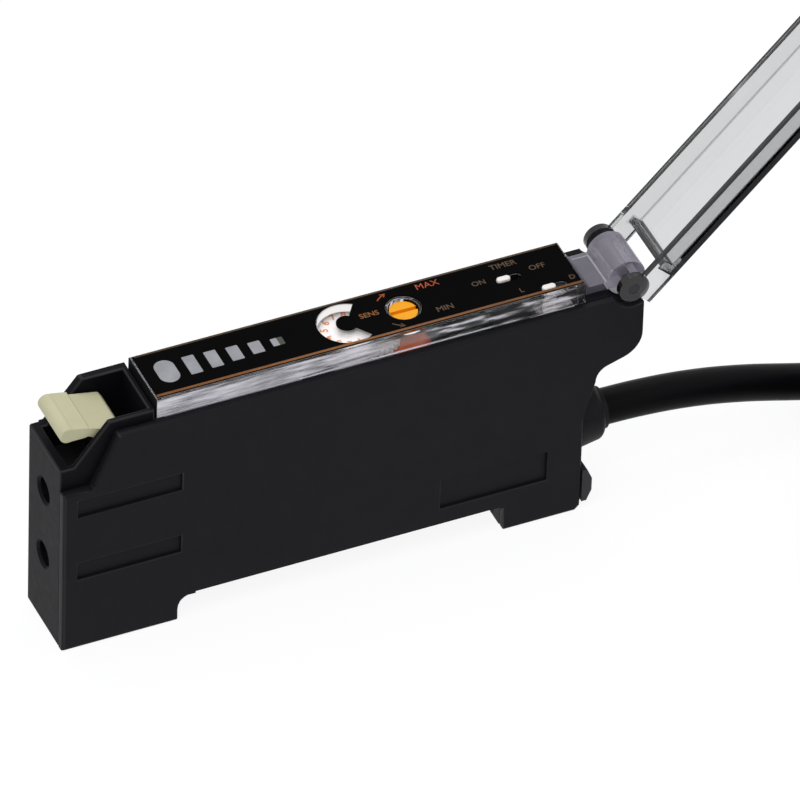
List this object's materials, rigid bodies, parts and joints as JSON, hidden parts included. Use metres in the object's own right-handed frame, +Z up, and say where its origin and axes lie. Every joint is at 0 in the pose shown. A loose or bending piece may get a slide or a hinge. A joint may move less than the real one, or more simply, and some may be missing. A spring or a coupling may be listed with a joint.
{
  "type": "fibre optic sensor amplifier",
  "caption": "Slim rail-mounted fibre optic sensor amplifier with a hinged clear cover, fibre lock lever, geared sensitivity adjuster, slide switches and a coiled cable.",
  "frame": {"origin": "middle of the rail seat, on the face that lies against the rail", "axes": "+X from the fibre end to the cable end, +Y across the narrow body away from the side cover, +Z up through the panel"},
  "size_m": [0.146, 0.0608, 0.0714],
  "materials": {
    "case": "fine moulded satin",
    "side_cover": "fine moulded satin",
    "fibre_block": "satin",
    "emitter_led": "clear red",
    "receiver_diode": "dark clear",
    "board": "solder resist",
    "board_chips": "moulded",
    "board_capacitors": "satin",
    "indicator_leds": "clear epoxy",
    "light_pipe": "frosted",
    "display_lens": "clear moulded plastic",
    "panel_film": "gloss printed film",
    "steel": "bright wire",
    "clear_cover": "clear moulded plastic",
    "lock_lever": "satin",
    "fibre_clamp": "matt",
    "trimmer": "moulded",
    "gear_plate": "moulded",
    "adjuster": "satin",
    "white_plastic": "satin",
    "switch_body": "tinned",
    "rail_latch": "satin",
    "grommet": "matt",
    "cable": "satin vinyl",
    "coil_tie": "satin"
  },
  "bodies": {
    "housing": {"case": "case", "side_cover": "side_cover", "fibre_block": "fibre_block", "emitter_led": "emitter_led", "receiver_diode": "receiver_diode", "main_board": "board", "board_chips": "board_chips", "board_capacitors": "board_capacitors", "display_board": "board", "indicator_leds": "indicator_leds", "light_pipe": "light_pipe", "display_lens": "display_lens", "panel_film": "panel_film", "hinge_pin": "steel", "lever_pin": "steel", "trimmer": "trimmer", "gear_plate": "gear_plate", "timer_switch": "switch_body", "mode_switch": "switch_body", "latch_spring": "steel", "grommet": "grommet", "cable": "cable", "cable_coil": "cable", "coil_tie": "coil_tie"},
    "cover": {"clear_cover": "clear_cover"},
    "lever": {"lock_lever": "lock_lever"},
    "clamp": {"fibre_clamp": "fibre_clamp"},
    "adjuster": {"adjuster": "adjuster"},
    "idler": {"idler_gear": "white_plastic"},
    "dial": {"sensitivity_dial": "white_plastic"},
    "timer_slider": {"timer_knob": "white_plastic"},
    "mode_slider": {"mode_knob": "white_plastic"},
    "latch": {"rail_latch": "rail_latch"}
  },
  "joints": [
    {"name": "cover_hinge", "type": "hinge", "parent": "housing", "child": "cover", "pos_m": [0.0346, 0, 0.0273], "axis": [0, -1, 0], "range_deg": [0, 134]},
    {"name": "lever_hinge", "type": "hinge", "parent": "housing", "child": "lever", "pos_m": [-0.0266, 0, 0.0244], "axis": [0, 1, 0], "range_deg": [0, 62]},
    {"name": "clamp_slide", "type": "slide", "parent": "housing", "child": "clamp", "axis": [0, 0, 1], "range_m": [0, 0.0008]},
    {"name": "adjuster_turn", "type": "hinge", "parent": "housing", "child": "adjuster", "pos_m": [0.0089, 0, 0.027], "axis": [0, 0, 1], "range_deg": [-1440, 1440]},
    {"name": "idler_turn", "type": "hinge", "parent": "housing", "child": "idler", "pos_m": [0.00549, 0, 0.026], "axis": [0, 0, 1], "range_deg": [-420.5, 420.5]},
    {"name": "dial_turn", "type": "hinge", "parent": "housing", "child": "dial", "pos_m": [0.00208, 0, 0.027], "axis": [0, 0, 1], "range_deg": [-123, 123]},
    {"name": "timer_slide", "type": "slide", "parent": "housing", "child": "timer_slider", "axis": [1, 0, 0], "range_m": [0, 0.0012]},
    {"name": "mode_slide", "type": "slide", "parent": "housing", "child": "mode_slider", "axis": [1, 0, 0], "range_m": [0, 0.0012]},
    {"name": "latch_slide", "type": "slide", "parent": "housing", "child": "latch", "axis": [1, 0, 0], "range_m": [0, 0.0022], "stiffness_N_per_m": 600, "springref_m": -0.002, "deforming": ["latch_spring"]}
  ],
  "couplings": [
    {"joint": "lever_hinge", "follows": "clamp_slide", "rad_per_m": 1350},
    {"joint": "idler_turn", "follows": "adjuster_turn", "ratio": -0.29167},
    {"joint": "dial_turn", "follows": "adjuster_turn", "ratio": 0.085069}
  ]
}
